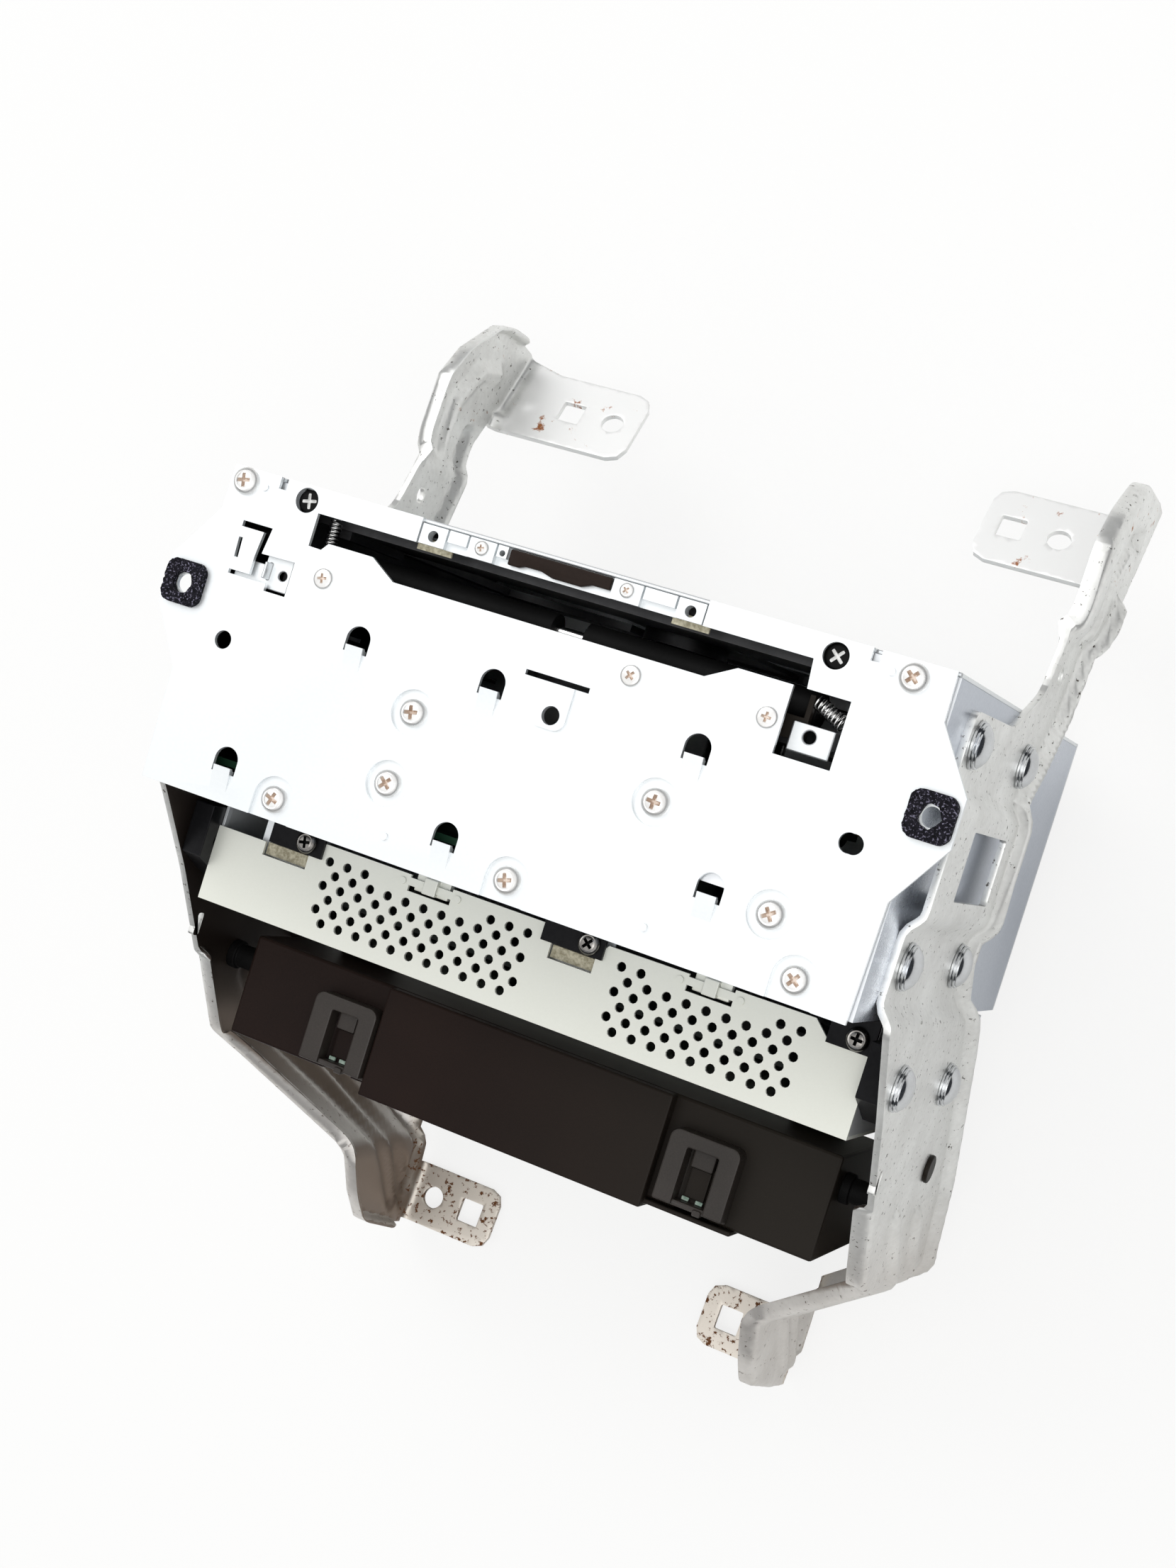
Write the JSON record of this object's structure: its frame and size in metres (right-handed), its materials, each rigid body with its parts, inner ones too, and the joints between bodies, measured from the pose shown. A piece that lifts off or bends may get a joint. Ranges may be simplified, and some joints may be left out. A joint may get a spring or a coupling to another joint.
{
  "type": "car navigation disc unit",
  "caption": "Car navigation and disc unit without its fascia: slotted steel front, perforated lower cover, black control housing and two side brackets with feet.",
  "frame": {"origin": "centre of the footprint, on the surface that the unit lies on with its front plate upwards", "axes": "+Z towards the driver, out of the front plate; +Y up on the dashboard; +X to the right"},
  "size_m": [0.1956, 0.2592, 0.1738],
  "materials": {
    "zinc_sheet": "bright zinc-plated sheet, fine grain",
    "bracket_steel": "grey zinc-plated pressed steel with rust specks on the feet",
    "screw_steel": "plated screws and small turned steel",
    "dark_steel": "black passivated sheet",
    "painted_cover": "pre-coated beige grey sheet",
    "black_plastic": "fine matt black moulding",
    "brown_plastic": "dark brown moulding",
    "white_plastic": "natural acetal",
    "rubber": "soft black rubber",
    "foam": "black open-cell foam",
    "felt": "grey felt",
    "gasket": "rough beige conductive gasket",
    "board_green": "green solder mask",
    "chip_black": "moulded packages",
    "sink_aluminium": "extruded or cast aluminium",
    "brass_pinion": "turned brass",
    "lens_glass": "clear moulded lens"
  },
  "bodies": {
    "unit": {"front_plate": "zinc_sheet", "foam_pads": "foam", "plate_screws": "screw_steel", "corner_screws": "screw_steel", "small_screws": "screw_steel", "deep_screws": "dark_steel", "slot_strip": "brown_plastic", "slot_frame": "zinc_sheet", "tab_screws": "screw_steel", "lock_piece": "zinc_sheet", "chassis_shell": "zinc_sheet", "top_cover": "zinc_sheet", "rear_panel": "zinc_sheet", "heat_sink": "sink_aluminium", "rear_connectors": "black_plastic", "fan_frame": "black_plastic", "main_board": "board_green", "board_parts": "chip_black", "module_cover": "painted_cover", "module_clips": "painted_cover", "module_tray": "zinc_sheet", "gasket_strips": "gasket", "module_tabs": "dark_steel", "module_screws": "dark_steel", "module_board": "board_green", "module_chips": "chip_black", "control_housing": "black_plastic", "housing_block": "black_plastic", "snap_loops": "black_plastic", "control_board": "board_green", "bumpers": "rubber", "right_bracket": "bracket_steel", "left_bracket": "bracket_steel", "bracket_screws": "screw_steel", "module_ears": "zinc_sheet", "push_clips": "black_plastic", "mech_deck": "dark_steel", "dampers": "rubber", "disc_guide": "black_plastic", "slot_lip": "black_plastic", "felt_pads": "felt", "loading_motor": "screw_steel", "spindle_motor": "screw_steel", "guide_rods": "screw_steel", "sled_motor": "screw_steel", "left_spring": "screw_steel", "right_spring": "screw_steel", "spring_bracket": "zinc_sheet"},
    "roller": {"loading_roller": "screw_steel", "roller_sleeves": "rubber"},
    "idler": {"idler_gear": "white_plastic"},
    "pinion": {"motor_pinion": "brass_pinion"},
    "spindle": {"turntable": "black_plastic"},
    "clamp": {"clamp_arm": "dark_steel", "clamp_puck": "white_plastic"},
    "sled": {"pickup_sled": "sink_aluminium", "pickup_lens": "lens_glass"},
    "drive": {"sled_pinion": "white_plastic"},
    "fan": {"fan_rotor": "black_plastic"}
  },
  "joints": [
    {"name": "roller_turn", "type": "hinge", "parent": "unit", "child": "roller", "pos_m": [0, 0.0488, 0.16], "axis": [1, 0, 0], "continuous": true},
    {"name": "idler_turn", "type": "hinge", "parent": "unit", "child": "idler", "pos_m": [0.0735, 0.038, 0.1519], "axis": [1, 0, 0], "continuous": true},
    {"name": "pinion_turn", "type": "hinge", "parent": "unit", "child": "pinion", "pos_m": [0.0735, 0.029, 0.1465], "axis": [1, 0, 0], "continuous": true},
    {"name": "disc_spin", "type": "hinge", "parent": "unit", "child": "spindle", "pos_m": [0, 0.05, 0.088], "axis": [0, 1, 0], "continuous": true},
    {"name": "clamp_lift", "type": "hinge", "parent": "unit", "child": "clamp", "pos_m": [0, 0.0592, 0.034], "axis": [-1, 0, 0], "range_deg": [0, 2.5], "stiffness_Nm_per_rad": 0.02},
    {"name": "sled_slide", "type": "slide", "parent": "unit", "child": "sled", "axis": [0, 0, 1], "range_m": [0, 0.024]},
    {"name": "drive_turn", "type": "hinge", "parent": "unit", "child": "drive", "pos_m": [0.036, 0.0434, 0.128], "axis": [0, 1, 0], "range_deg": [0, 345]},
    {"name": "fan_spin", "type": "hinge", "parent": "unit", "child": "fan", "pos_m": [0.062, 0.03, 0.0115], "axis": [0, 0, 1], "continuous": true}
  ],
  "couplings": [
    {"joint": "idler_turn", "follows": "roller_turn", "ratio": -0.8},
    {"joint": "pinion_turn", "follows": "roller_turn", "ratio": 2},
    {"joint": "drive_turn", "follows": "sled_slide", "rad_per_m": 250}
  ]
}
